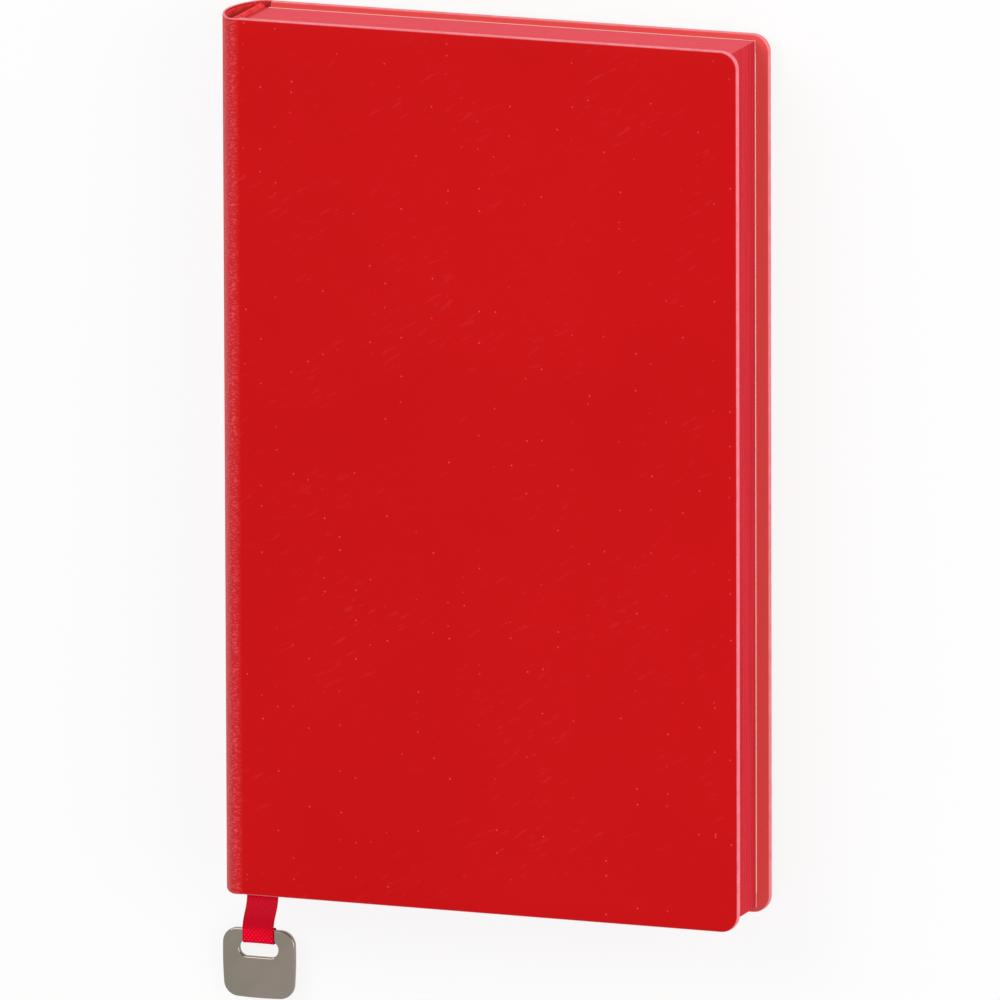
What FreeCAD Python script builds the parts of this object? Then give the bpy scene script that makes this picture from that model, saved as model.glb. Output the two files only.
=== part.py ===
"""Pocket notebook with a hard leather-covered case, a sewn page block, a ribbon marker and a metal tag.

Millimetres. The book lies closed on its back cover: +Z up, +X from the spine to the fore-edge,
+Y from the tail to the head. The origin is the centre of the back cover's outer face.
"""
import FreeCAD, Part
import os

V = FreeCAD.Vector

# ---- the closed book -------------------------------------------------------------------------
COVER_WIDTH = 91.0        # spine line to fore-edge
COVER_HEIGHT = 150.0      # tail to head
BLOCK_HEAD_MARGIN = 1.0   # how far the covers stand past the pages at head and tail
BLOCK_FORE_MARGIN = 2.3   # the same at the fore-edge
CORNER_RADIUS = 3.0       # fore-edge corners of both covers
SPINE_CORNER_RADIUS = 0.2
FILLET_SHARE = 0.48       # a rounded corner takes at most this share of a side

# ---- one cover, from outside to inside -------------------------------------------------------
LEATHER = 0.4
BOARD = 0.95
TURN_IN = 0.05            # the turned-in leather, pared thin under the pastedown
PASTEDOWN = 0.1
TURN_IN_WIDTH = 12.0
COVER = LEATHER + BOARD + TURN_IN + PASTEDOWN

# ---- spine -----------------------------------------------------------------------------------
JOINT_FROM_LINE = 2.0     # the spine line to the cover's hinge line
BOARD_FROM_JOINT = 0.5    # the hinge line to the board's edge
SPINE_BULGE = 2.5         # how far the rounded spine stands out past the spine line
SPINE_FLAT = 0.8          # flat leather each side of the round, inside the spine line
SPINE_STIFFENER = 0.35
HINGE_LIFT = 0.05         # the hinge axis lies just outside the cover's face

# ---- page block ------------------------------------------------------------------------------
BLOCK_FROM_LINE = 2.2     # the spine line to the folds of the sheets
SIGNATURES = 8
SIGNATURE = 1.54
FLYLEAF = 0.15
LEAF_GROUPS = 5           # the leaves over the ribbon, which turn with the front cover
LEAF_GROUP = 0.2
LEAF_GAP = 0.05           # air between pieces that turn apart
BOUND_MARGIN = 1.7        # the width held by the binding
LEAF_START = 1.5          # a turning leaf is stiff from this distance past its hinge line
SPINE_GLUE = 0.2
SPINE_GAUZE = 0.2
SPINE_LINING = 0.15
GAUZE_SHORT = 12.0        # the gauze and lining stop this far from head and tail
HEADBAND_RADIUS = 0.7
THREAD = 0.3
STITCH_STATIONS = 5
STITCH_INSET = 14.0

# ---- ribbon marker and its tag ---------------------------------------------------------------
RIBBON_WIDTH = 5.6
RIBBON = 0.25
RIBBON_GAP = 0.05
RIBBON_INSET = 0.1        # the folds of the sheets to the ribbon's edge
RIBBON_TAIL_LEAN = 5.6    # how far the free end leans to the spine side
RIBBON_RUN = 7.7          # hinge line of the ribbon to the fold that holds the tag
RIBBON_HINGE_OUT = 1.0    # the ribbon bends this far outside the cover's edge
RIBBON_STEPS = 14
RIBBON_SLOPE_SHARE = 0.01 # the share of the run over which its slope is taken
TAG_WIDTH = 12.7
TAG_WIDTH_LOW = 12.2
TAG_LENGTH = 11.7
TAG = 1.1
TAG_CORNER = 2.6
TAG_EDGE = 0.3
TAG_BOW = 0.25            # how far the tag's sides and lower edge bulge
SLOT_END_FLAT = 0.05
TAG_BAR = 2.0             # the bar between the tag's edge and its slot
SLOT_SIDE_GAP = 0.7       # the slot is wider than the ribbon by this much at each side
SLOT_LENGTH = 2.8
TAG_CLEARANCE = 0.05      # around the bar inside the ribbon's fold
FOLD_SLACK = 0.2          # the fold hangs this far below the slot's top, clear of its round corners
FOLD_FROM_TAIL = 0.7      # the free ribbon's end to the fold, where the ribbon bends as the tag swings

# ---- working allowances ----------------------------------------------------------------------
OVERCUT = 1.0             # a cutting block stands this far past what it cuts
SAME = 0.001              # two lengths closer than this are the same

# ---- places worked out from the sizes --------------------------------------------------------
spine_line = -COVER_WIDTH / 2
fore_edge = COVER_WIDTH / 2
head = COVER_HEIGHT / 2
tail = -head
joint_x = spine_line + JOINT_FROM_LINE
block_x = spine_line + BLOCK_FROM_LINE
block_fore = fore_edge - BLOCK_FORE_MARGIN
block_head = head - BLOCK_HEAD_MARGIN
block_tail = -block_head

back_flyleaf_z = COVER + LEAF_GAP
signatures_z = back_flyleaf_z + FLYLEAF
ribbon_z = signatures_z + SIGNATURES * SIGNATURE + RIBBON_GAP
leaves_z = ribbon_z + RIBBON + 2 * RIBBON_GAP
front_flyleaf_z = leaves_z + LEAF_GROUPS * (LEAF_GROUP + LEAF_GAP)
front_cover_z = front_flyleaf_z + FLYLEAF + LEAF_GAP
thickness = front_cover_z + COVER
margin_end = block_x + BOUND_MARGIN
leaf_hinge_x = margin_end + LEAF_GAP

tag_bottom = RIBBON + 2 * TAG_CLEARANCE
ribbon_x = block_x + RIBBON_INSET + RIBBON_WIDTH / 2
slot_width = RIBBON_WIDTH + 2 * SLOT_SIDE_GAP
tag_x = ribbon_x - RIBBON_TAIL_LEAN
ribbon_hinge_y = tail - RIBBON_HINGE_OUT
fold_y = ribbon_hinge_y - RIBBON_RUN


def box(x0, x1, y0, y1, z0, z1):
    """A block between two corners."""
    return Part.makeBox(x1 - x0, y1 - y0, z1 - z0, V(x0, y0, z0))


def rounded_slab(x0, x1, y0, y1, z0, z1, spine_radius, fore_radius):
    """A flat slab whose four upright corners are rounded."""
    slab = box(x0, x1, y0, y1, z0, z1)
    for x, radius in ((x0, spine_radius), (x1, fore_radius)):
        radius = min(radius, FILLET_SHARE * (x1 - x0), FILLET_SHARE * (y1 - y0))
        if radius > 0:
            upright = [e for e in slab.Edges
                       if abs(e.CenterOfMass.x - x) < SAME and abs(e.tangentAt(e.FirstParameter).z) > 0.9]
            slab = slab.makeFillet(radius, upright)
    return slab


def one_solid(shape):
    """The single solid of a boolean's result."""
    return shape.removeSplitter().Solids[0]


def save(name, *solids):
    """Write one node's solids to its own file."""
    shape = solids[0] if len(solids) == 1 else Part.makeCompound(list(solids))
    shape.exportStep(f"parts/{name}.step")
    print(f"{name}: {len(shape.Solids)} solid, {shape.Volume:.1f} mm3, valid {shape.isValid()}")


def cover(side):
    """One cover's leather, board and pastedown, made as the back cover and turned over for the front."""
    board_x = joint_x + BOARD_FROM_JOINT
    edge = board_x + LEATHER
    leather = rounded_slab(joint_x, fore_edge, tail, head, 0, LEATHER + BOARD + TURN_IN,
                           SPINE_CORNER_RADIUS, CORNER_RADIUS)
    flap = box(joint_x - OVERCUT, board_x, tail - OVERCUT, head + OVERCUT, LEATHER, COVER)
    board = rounded_slab(board_x, fore_edge - LEATHER, tail + LEATHER, head - LEATHER,
                         LEATHER, LEATHER + BOARD, 0, CORNER_RADIUS - LEATHER)
    window = box(edge + TURN_IN_WIDTH - LEATHER, fore_edge - TURN_IN_WIDTH, tail + TURN_IN_WIDTH,
                 head - TURN_IN_WIDTH, LEATHER + BOARD / 2, COVER)
    leather = one_solid(leather.cut(flap).cut(board).cut(window))
    pastedown = rounded_slab(board_x + LEATHER, fore_edge - BLOCK_FORE_MARGIN, block_tail, block_head,
                             LEATHER + BOARD + TURN_IN, COVER, 0, CORNER_RADIUS - LEATHER)
    pieces = {"cover_leather": leather, "board": board, "pastedown": pastedown}
    for name, piece in pieces.items():
        if side == "front":
            piece = piece.mirror(V(0, 0, thickness / 2), V(0, 0, 1))
        save(f"{side}_{name}", piece)


def spine_profile(inset):
    """Three points of the rounded spine at a depth inside its outer face: its top, bulge and foot."""
    start = spine_line + SPINE_FLAT
    bulge = spine_line - SPINE_BULGE + inset
    top = V(start, 0, thickness - inset)
    low = V(start, 0, inset)
    middle = V(bulge, 0, thickness / 2)
    return top, middle, low


def spine_shell(outer, inner, end_x, y0, y1):
    """A curved sheet that follows the spine, between two depths, ending flat at end_x."""
    top_out, mid_out, low_out = spine_profile(outer)
    top_in, mid_in, low_in = spine_profile(inner)
    edges = []
    if end_x > top_out.x:
        edges.append(Part.makeLine(V(end_x, 0, top_out.z), top_out))
    edges.append(Part.Arc(top_out, mid_out, low_out).toShape())
    if end_x > top_out.x:
        edges.append(Part.makeLine(low_out, V(end_x, 0, low_out.z)))
        edges.append(Part.makeLine(V(end_x, 0, low_out.z), V(end_x, 0, low_in.z)))
        edges.append(Part.makeLine(V(end_x, 0, low_in.z), low_in))
    else:
        edges.append(Part.makeLine(low_out, low_in))
    edges.append(Part.Arc(low_in, mid_in, top_in).toShape())
    if end_x > top_out.x:
        edges.append(Part.makeLine(top_in, V(end_x, 0, top_in.z)))
        edges.append(Part.makeLine(V(end_x, 0, top_in.z), V(end_x, 0, top_out.z)))
    else:
        edges.append(Part.makeLine(top_in, top_out))
    face = Part.Face(Part.Wire(edges))
    face.translate(V(0, y0, 0))
    return face.extrude(V(0, y1 - y0, 0))


def spine():
    """The leather over the spine and the card that stiffens it."""
    save("spine_leather", spine_shell(0, LEATHER, joint_x, tail, head))
    save("spine_stiffener", spine_shell(LEATHER, LEATHER + SPINE_STIFFENER, spine_line,
                                        tail + LEATHER, head - LEATHER))


def binding():
    """What holds the page block together at its back."""
    low, high = signatures_z, front_flyleaf_z
    thread_x = block_x - THREAD
    glue_x = thread_x - SPINE_GLUE
    gauze_x = glue_x - SPINE_GAUZE
    lining_x = gauze_x - SPINE_LINING
    pitch = (2 * block_head - 2 * STITCH_INSET) / (STITCH_STATIONS - 1)
    stitches = []
    for station in range(STITCH_STATIONS):
        y = block_tail + STITCH_INSET + station * pitch
        stitches.append(box(thread_x, block_x, y - THREAD, y + THREAD, low, high))
    glue = box(glue_x, block_x, block_tail, block_head, low, high)
    for stitch in stitches:
        glue = glue.cut(stitch)
    save("sewing_thread", *stitches)
    save("spine_glue", one_solid(glue))
    short_tail, short_head = block_tail + GAUZE_SHORT, block_head - GAUZE_SHORT
    save("spine_gauze", box(gauze_x, glue_x, short_tail, short_head, low, high))
    save("spine_lining", box(lining_x, gauze_x, short_tail, short_head, low, high))
    centre_x = glue_x - HEADBAND_RADIUS
    for name, y in (("headband_head", block_head), ("headband_tail", block_tail)):
        band = Part.makeCylinder(HEADBAND_RADIUS, high - low, V(centre_x, y, low), V(0, 0, 1))
        save(name, band)


def page_block():
    """Eight sewn signatures, the back flyleaf and the leaves over the ribbon."""
    for number in range(SIGNATURES):
        z = signatures_z + number * SIGNATURE
        save(f"signature_{SIGNATURES - number}",
             box(block_x, block_fore, block_tail, block_head, z, z + SIGNATURE))
    save("back_flyleaf", box(block_x, block_fore, block_tail, block_head,
                             back_flyleaf_z, back_flyleaf_z + FLYLEAF))
    save("bound_margin", box(block_x, margin_end, block_tail, block_head, leaves_z, front_flyleaf_z))
    leaf_x = leaf_hinge_x + LEAF_START
    for number in range(LEAF_GROUPS):
        z = leaves_z + number * (LEAF_GROUP + LEAF_GAP)
        save(f"leaf_group_{LEAF_GROUPS - number}",
             box(leaf_x, block_fore, block_tail, block_head, z, z + LEAF_GROUP))
    save("front_flyleaf", box(leaf_x, block_fore, block_tail, block_head,
                              front_flyleaf_z, front_flyleaf_z + FLYLEAF))


def strip(sections):
    """A closed flat strip through sections of four points: left, right above, then right, left below."""
    faces = [Part.Face(Part.makePolygon(list(sections[0]) + [sections[0][0]])),
             Part.Face(Part.makePolygon(list(sections[-1]) + [sections[-1][0]]))]
    for near, far in zip(sections, sections[1:]):
        for corner in range(4):
            after = (corner + 1) % 4
            quad = [near[corner], near[after], far[after], far[corner]]
            faces.append(Part.Face(Part.makePolygon([quad[0], quad[1], quad[2], quad[0]])))
            faces.append(Part.Face(Part.makePolygon([quad[0], quad[2], quad[3], quad[0]])))
    solid = Part.Solid(Part.makeShell(faces))
    if solid.Volume < 0:
        solid.reverse()
    return solid


def ribbon_middle(share):
    """The free ribbon's middle line, from its hinge line at 0 to the tag's fold at 1."""
    high = ribbon_z + RIBBON / 2
    low = tag_bottom + TAG / 2
    ease = share * share * (3 - 2 * share)
    return V(ribbon_x + (tag_x - ribbon_x) * share, ribbon_hinge_y - RIBBON_RUN * share,
             high + (low - high) * ease)


def ribbon():
    """The marker between the pages, its free tail, and the fold around the tag's bar."""
    half = RIBBON_WIDTH / 2
    save("ribbon_marker", box(ribbon_x - half, ribbon_x + half, ribbon_hinge_y + RIBBON, block_head,
                              ribbon_z, ribbon_z + RIBBON))
    sections = []
    for step in range(RIBBON_STEPS + 1):
        share = step / RIBBON_STEPS
        middle = ribbon_middle(share)
        before = ribbon_middle(max(share - RIBBON_SLOPE_SHARE, 0))
        after = ribbon_middle(min(share + RIBBON_SLOPE_SHARE, 1))
        along = V(0, after.y - before.y, after.z - before.z)
        along.normalize()
        out = V(0, -along.z, along.y) * (-RIBBON / 2)
        side = V(half, 0, 0)
        sections.append((middle - side + out, middle + side + out,
                         middle + side - out, middle - side - out))
    save("ribbon_tail", strip(sections))
    fold_top = fold_y - FOLD_FROM_TAIL
    inner_y0 = fold_top - RIBBON - TAG_BAR - 2 * TAG_CLEARANCE - FOLD_SLACK
    inner_z1 = tag_bottom + TAG + TAG_CLEARANCE
    outer = box(tag_x - half, tag_x + half, inner_y0 - RIBBON, fold_top,
                TAG_CLEARANCE, inner_z1 + RIBBON)
    inner = box(tag_x - half - OVERCUT, tag_x + half + OVERCUT, inner_y0, fold_top - RIBBON,
                TAG_CLEARANCE + RIBBON, inner_z1)
    save("ribbon_loop", one_solid(outer.cut(inner)))


def tag():
    """A rounded square tag with a slot, its sides slightly bowed and narrower at the far end."""
    top_y = fold_y - FOLD_FROM_TAIL - RIBBON - TAG_CLEARANCE
    low_y = top_y - TAG_LENGTH
    half_top, half_low = TAG_WIDTH / 2, TAG_WIDTH_LOW / 2
    corners = [V(tag_x - half_top, top_y, 0), V(tag_x + half_top, top_y, 0),
               V(tag_x + half_low, low_y, 0), V(tag_x - half_low, low_y, 0)]
    edges = []
    for one, two in zip(corners, corners[1:] + corners[:1]):
        middle = (one + two) * 0.5
        outward = V(middle.x - tag_x, middle.y - (top_y + low_y) / 2, 0)
        outward.normalize()
        lift = 0 if one.y == two.y == top_y else TAG_BOW
        if lift:
            edges.append(Part.Arc(one, middle + outward * lift, two).toShape())
        else:
            edges.append(Part.makeLine(one, two))
    plate = Part.Face(Part.Wire(edges)).extrude(V(0, 0, TAG))
    upright = [e for e in plate.Edges if abs(e.BoundBox.ZLength - TAG) < SAME
               and e.BoundBox.XLength < SAME]
    plate = plate.makeFillet(TAG_CORNER, upright)
    slot_top = top_y - TAG_BAR
    slot_low = slot_top - SLOT_LENGTH
    end = SLOT_LENGTH / 2 - SLOT_END_FLAT
    slot = box(tag_x - slot_width / 2, tag_x + slot_width / 2, slot_low, slot_top,
               -OVERCUT, TAG + OVERCUT)
    slot = slot.makeFillet(end, [e for e in slot.Edges if e.BoundBox.ZLength > TAG])
    plate = plate.cut(slot)
    rims = [e for e in plate.Edges if e.BoundBox.ZLength < SAME]
    plate = plate.makeFillet(TAG_EDGE, rims)
    plate.translate(V(0, 0, tag_bottom))
    save("metal_tag", plate.Solids[0])


def main():
    os.makedirs("parts", exist_ok=True)
    cover("back")
    cover("front")
    spine()
    binding()
    page_block()
    ribbon()
    tag()
    print(f"closed thickness {thickness:.2f} mm, "
          f"front hinge z {thickness + HINGE_LIFT:.2f}, leaf hinge x {leaf_hinge_x:.2f}, "
          f"ribbon hinge y {ribbon_hinge_y:.2f} z {ribbon_z + RIBBON / 2:.2f}, "
          f"tag hinge y {fold_y:.2f} z {tag_bottom + TAG / 2:.2f}, x {tag_x:.2f}")


main()
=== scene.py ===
# %% [markdown]
# # A pocket notebook in red leatherette
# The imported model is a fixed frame: it says where each board, leaf and hinge lies. This script gives each
# piece its look. Everything is in metres and in the same frame, so places are read from the frame.

# %% load the frame
import math
import bmesh
import bpy
from mathutils import Matrix, Vector


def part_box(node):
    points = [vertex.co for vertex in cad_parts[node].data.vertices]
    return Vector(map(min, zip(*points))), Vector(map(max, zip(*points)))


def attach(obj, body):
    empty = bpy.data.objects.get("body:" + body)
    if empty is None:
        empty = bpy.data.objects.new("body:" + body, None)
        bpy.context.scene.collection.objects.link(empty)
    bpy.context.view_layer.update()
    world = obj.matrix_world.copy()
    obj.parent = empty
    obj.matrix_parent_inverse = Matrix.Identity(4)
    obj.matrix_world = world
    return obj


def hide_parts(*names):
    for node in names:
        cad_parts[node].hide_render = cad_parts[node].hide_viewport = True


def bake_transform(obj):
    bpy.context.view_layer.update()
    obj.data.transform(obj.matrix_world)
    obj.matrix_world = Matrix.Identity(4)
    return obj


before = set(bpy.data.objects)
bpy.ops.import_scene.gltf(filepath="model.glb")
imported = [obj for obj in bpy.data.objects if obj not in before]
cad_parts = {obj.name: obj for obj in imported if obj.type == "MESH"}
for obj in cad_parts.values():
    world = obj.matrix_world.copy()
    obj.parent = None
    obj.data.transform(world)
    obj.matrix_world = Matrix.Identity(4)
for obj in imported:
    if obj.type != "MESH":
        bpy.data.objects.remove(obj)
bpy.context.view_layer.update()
MM = 0.001

# %% [markdown]
# ## Sizes that several pieces share
# A book's case, its pages and its ribbon all start from a few planes. They come from the frame's own boxes,
# so they stay right if a size changes.

# %% shared planes
spine_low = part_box("spine_leather")[0]
cover_low, cover_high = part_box("front_cover_leather")
board_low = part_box("front_board")[0]
block_low, block_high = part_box("signature_8")
margin_low, margin_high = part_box("bound_margin")
TOP = cover_high.z
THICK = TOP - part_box("back_cover_leather")[0].z
MIDDLE = TOP - THICK / 2
HALF_TALL = cover_high.y
FORE = cover_high.x
JOINT = cover_low.x
BOARD_EDGE = board_low.x
SPINE_OUT = spine_low.x
CORNER = 3.0 * MM
ROLL = 0.35 * MM            # how round the turned leather is at a cover's rim
print(f"closed book {1000 * (FORE - SPINE_OUT):.1f} x {2000 * HALF_TALL:.1f} x {1000 * THICK:.1f} mm")

# %% [markdown]
# ## Small helpers
# A mesh is easiest to write as lists of points and faces. These helpers turn such lists into an object, and
# start a material with its main shader ready.

# %% helpers
def make_mesh(name, points, faces, smooth=True):
    """An object from points and faces, with its normals turned outwards."""
    data = bpy.data.meshes.new(name)
    data.from_pydata([tuple(p) for p in points], [], faces)
    book = bmesh.new()
    book.from_mesh(data)
    bmesh.ops.remove_doubles(book, verts=book.verts, dist=0.002 * MM)
    bmesh.ops.recalc_face_normals(book, faces=book.faces)
    book.to_mesh(data)
    book.free()
    for face in data.polygons:
        face.use_smooth = smooth
    obj = bpy.data.objects.new(name, data)
    bpy.context.scene.collection.objects.link(obj)
    return obj


def start_material(name, color, roughness):
    """A material whose main shader has a plain colour, with its node tree to add to."""
    material = bpy.data.materials.new(name)
    material.use_nodes = True
    tree = material.node_tree
    shader = tree.nodes["Principled BSDF"]
    shader.inputs["Base Color"].default_value = (*color, 1)
    shader.inputs["Roughness"].default_value = roughness
    return material, tree, shader


def add(tree, kind, **values):
    """A new node with its properties set."""
    node = tree.nodes.new(kind)
    for key, value in values.items():
        setattr(node, key, value)
    return node


def noise(tree, vector, scale, detail=2.0, stretch=None):
    """A noise pattern on a piece's coordinates, turned and then stretched by (turn, lengths) where given."""
    node = add(tree, "ShaderNodeTexNoise")
    node.inputs["Scale"].default_value = scale
    node.inputs["Detail"].default_value = detail
    if stretch:
        mapping = add(tree, "ShaderNodeMapping", vector_type="TEXTURE")
        mapping.inputs["Rotation"].default_value = stretch[0]
        mapping.inputs["Scale"].default_value = stretch[1]
        tree.links.new(vector, mapping.inputs["Vector"])
        vector = mapping.outputs["Vector"]
    tree.links.new(vector, node.inputs["Vector"])
    return node.outputs["Fac"]


def ramp(tree, value, stops):
    """A colour or grey ramp over a value."""
    node = add(tree, "ShaderNodeValToRGB")
    while len(node.color_ramp.elements) < len(stops):
        node.color_ramp.elements.new(0.5)
    for element, (place, color) in zip(node.color_ramp.elements, stops):
        element.position = place
        element.color = (*color, 1) if len(color) == 3 else color
    tree.links.new(value, node.inputs["Fac"])
    return node.outputs["Color"]


def grey(value):
    return (value, value, value)


def mix(tree, share, one, two, blend="MIX"):
    """Two colours mixed by a value."""
    node = add(tree, "ShaderNodeMix", data_type="RGBA", blend_type=blend)
    for socket, source in ((node.inputs["Factor"], share), (node.inputs[6], one), (node.inputs[7], two)):
        if isinstance(source, bpy.types.NodeSocket):
            tree.links.new(source, socket)
        elif isinstance(source, tuple):
            socket.default_value = (*source, 1)
        else:
            socket.default_value = source
    return node.outputs[2]


def maths(tree, operation, one, two=0.0):
    """One step of arithmetic on values."""
    node = add(tree, "ShaderNodeMath", operation=operation)
    for socket, source in zip(node.inputs, (one, two)):
        if isinstance(source, bpy.types.NodeSocket):
            tree.links.new(source, socket)
        else:
            socket.default_value = source
    return node.outputs[0]


def bump(tree, shader, height, distance, strength=1.0, under=None):
    """A bump on the shader's normal, over an earlier bump if there is one."""
    node = add(tree, "ShaderNodeBump")
    node.inputs["Distance"].default_value = distance
    node.inputs["Strength"].default_value = strength
    tree.links.new(height, node.inputs["Height"])
    if under:
        tree.links.new(under, node.inputs["Normal"])
    tree.links.new(node.outputs["Normal"], shader.inputs["Normal"])
    return node.outputs["Normal"]


def object_coordinates(tree):
    return add(tree, "ShaderNodeTexCoord").outputs["Object"]


def rest_coordinates(tree):
    """The place at rest, which a bent piece carries with it."""
    return add(tree, "ShaderNodeAttribute", attribute_name="rest_place").outputs["Vector"]


def axis_value(tree, vector, axis):
    node = add(tree, "ShaderNodeSeparateXYZ")
    tree.links.new(vector, node.inputs[0])
    return node.outputs[axis]


# %% [markdown]
# ## Leatherette
# The cover is a smooth coated sheet. Its colour is even, with a faint cloudiness, a few pale dust specks and
# short fine wrinkles that run up to the right. Along the spine the sheet is bent over the board's edge, so
# there it is paler and its grain opens up into small pebbles. One material does both, by the place across
# the book, so the cover and the spine never show a seam of colour.

# %% leatherette material
RED = (0.605, 0.0024, 0.0036)
RED_CLOUD = (0.575, 0.0018, 0.0030)
PALE_RED = (0.80, 0.085, 0.10)
# painted highlight: the pale pink that the covers' rounded rim is painted with
RIM_HIGHLIGHT_PINK = (0.90, 0.26, 0.30)
# painted light: the paler red that the covers' inner faces are painted with
INSIDE_PAINTED_LIGHT_RED = (0.76, 0.088, 0.080)
RIM_WIDTH = 0.20 * MM
SPECK_SHARE = 0.80


def smooth_range(tree, value, low, high):
    """A smooth step from 0 at low to 1 at high."""
    node = add(tree, "ShaderNodeMapRange", interpolation_type="SMOOTHSTEP")
    tree.links.new(value, node.inputs["Value"])
    node.inputs["From Min"].default_value = low
    node.inputs["From Max"].default_value = high
    return node.outputs["Result"]


def rim_mask(tree, x, y):
    """1 along a cover's head, tail and fore-edge, following its round corners."""
    over_x = maths(tree, "MAXIMUM", maths(tree, "SUBTRACT", x, FORE - CORNER), 0.0)
    tall = maths(tree, "ABSOLUTE", y)
    over_y = maths(tree, "MAXIMUM", maths(tree, "SUBTRACT", tall, HALF_TALL - CORNER), 0.0)
    squares = maths(tree, "ADD", maths(tree, "MULTIPLY", over_x, over_x),
                    maths(tree, "MULTIPLY", over_y, over_y))
    return smooth_range(tree, maths(tree, "SQRT", squares), CORNER - RIM_WIDTH, CORNER - 0.3 * RIM_WIDTH)


def leatherette():
    material, tree, shader = start_material("red_leatherette", RED, 0.5)
    place = rest_coordinates(tree)
    x, y, z = (axis_value(tree, place, axis) for axis in "XYZ")
    cloud = noise(tree, place, 26, 3)
    color = ramp(tree, cloud, [(0.3, RED_CLOUD), (0.7, RED)])
    # the paler strip where the sheet is bent, with short creases across it
    from_middle = maths(tree, "ABSOLUTE", maths(tree, "SUBTRACT", z, MIDDLE))
    at_bend = smooth_range(tree, x, BOARD_EDGE + 0.5 * MM, JOINT - 0.7 * MM)
    at_shoulder = smooth_range(tree, from_middle, THICK / 2 - 4.5 * MM, THICK / 2 - 1.5 * MM)
    at_bend = maths(tree, "MULTIPLY", at_bend,
                    maths(tree, "ADD", maths(tree, "MULTIPLY", at_shoulder, 0.85), 0.15))
    short = noise(tree, place, 2900, 3, ((0, 0, math.radians(8)), (1.6, 0.8, 1)))
    pebble = ramp(tree, short, [(0.50, grey(0)), (0.60, grey(1))])
    worn = maths(tree, "MULTIPLY", at_bend, maths(tree, "ADD", maths(tree, "MULTIPLY", pebble, 0.62), 0.20))
    color = mix(tree, worn, color, PALE_RED)
    # short wrinkles that run up to the right
    wrinkle = noise(tree, place, 760, 4, ((0, 0, math.radians(30)), (2.6, 0.55, 1)))
    creased = ramp(tree, wrinkle, [(0.60, grey(0)), (0.70, grey(1))])
    zone = ramp(tree, noise(tree, place, 60, 3), [(0.46, grey(0)), (0.66, grey(1))])
    creases = maths(tree, "MULTIPLY", creased, zone)
    color = mix(tree, maths(tree, "MULTIPLY", creases, 0.22), color, (0.74, 0.040, 0.050))
    # pale specks of dust
    specks = add(tree, "ShaderNodeTexVoronoi", feature="F1", voronoi_dimensions="2D")
    specks.inputs["Scale"].default_value = 360
    tree.links.new(place, specks.inputs["Vector"])
    dot = ramp(tree, specks.outputs["Distance"], [(0.02, grey(1)), (0.065, grey(0))])
    chosen = smooth_range(tree, axis_value(tree, specks.outputs["Color"], "X"), SPECK_SHARE, 1.0)
    dust = maths(tree, "MULTIPLY", maths(tree, "MULTIPLY", dot, chosen), 0.6)
    color = mix(tree, dust, color, (0.86, 0.16, 0.16))
    # painted light: the cover's inner faces, which lie in shade, are painted a paler red
    inner = maths(tree, "LESS_THAN", from_middle, THICK / 2 - 0.9 * MM)
    inside = maths(tree, "MULTIPLY", inner, maths(tree, "GREATER_THAN", x, BOARD_EDGE))
    color = mix(tree, inside, color, INSIDE_PAINTED_LIGHT_RED)
    # painted highlight: the rounded rim is painted pale pink where light catches it, broken up by noise
    highlight_breakup = ramp(tree, noise(tree, place, 420, 3), [(0.30, grey(0.72)), (0.60, grey(1))])
    rim = maths(tree, "MULTIPLY", maths(tree, "MULTIPLY", rim_mask(tree, x, y), highlight_breakup), 0.9)
    color = mix(tree, rim, color, RIM_HIGHLIGHT_PINK)
    tree.links.new(color, shader.inputs["Base Color"])
    # relief: fine grain everywhere, pebbles at the bend, the wrinkles, and a very slight unevenness
    grain = add(tree, "ShaderNodeTexVoronoi", feature="SMOOTH_F1")
    grain.inputs["Scale"].default_value = 1900
    tree.links.new(place, grain.inputs["Vector"])
    fine = maths(tree, "MULTIPLY", grain.outputs["Distance"], 0.22)
    raised = maths(tree, "ADD", fine, maths(tree, "MULTIPLY", pebble, at_bend))
    normal = bump(tree, shader, raised, 0.07 * MM, 0.6)
    normal = bump(tree, shader, creases, 0.05 * MM, 0.6, normal)
    bump(tree, shader, noise(tree, place, 60, 2), 0.25 * MM, 0.10, normal)
    rough = ramp(tree, cloud, [(0.3, grey(0.44)), (0.7, grey(0.52))])
    tree.links.new(rough, shader.inputs["Roughness"])
    shader.inputs["Specular IOR Level"].default_value = 0.10
    return material


LEATHER = leatherette()
print("leatherette ready")

# %% [markdown]
# ## The case: front cover, back cover and rounded spine
# On the real book one sheet wraps both boards and the spine. It could be three pieces that meet at the
# hinges, but then a gap opens as soon as a cover turns. So each half of the case is one closed sheet, from
# the middle of the spine over its shoulder and the joint to the fore-edge. I draw it flat, with rings that
# roll round its rim, cut it into a grid, and then lay the grid on the book's curve. It is thin over the
# spine and as thick as a board on the cover. At the joint the grid is cut finer.

# %% the curve that the case follows
CORNER_STEPS = 10
ROLL_STEPS = 5
SHOULDER_STEPS = 10
SPINE_STEPS = 16
JOINT_STEPS = 10
COVER_STEPS = 12
COVER_THICK = TOP - cover_low.z
SKIN = 0.4 * MM
UNDER_ROLL = 0.22 * MM
BOARD_STEP = 0.1 * MM       # how suddenly the sheet thickens at the board's edge
HALF_JOINT = BOARD_EDGE - JOINT
FLAT_FROM = JOINT - 1.2 * MM
SHOULDER_ROUND = 1.4 * MM
SHOULDER_FLAT = 0.6 * MM


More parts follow.
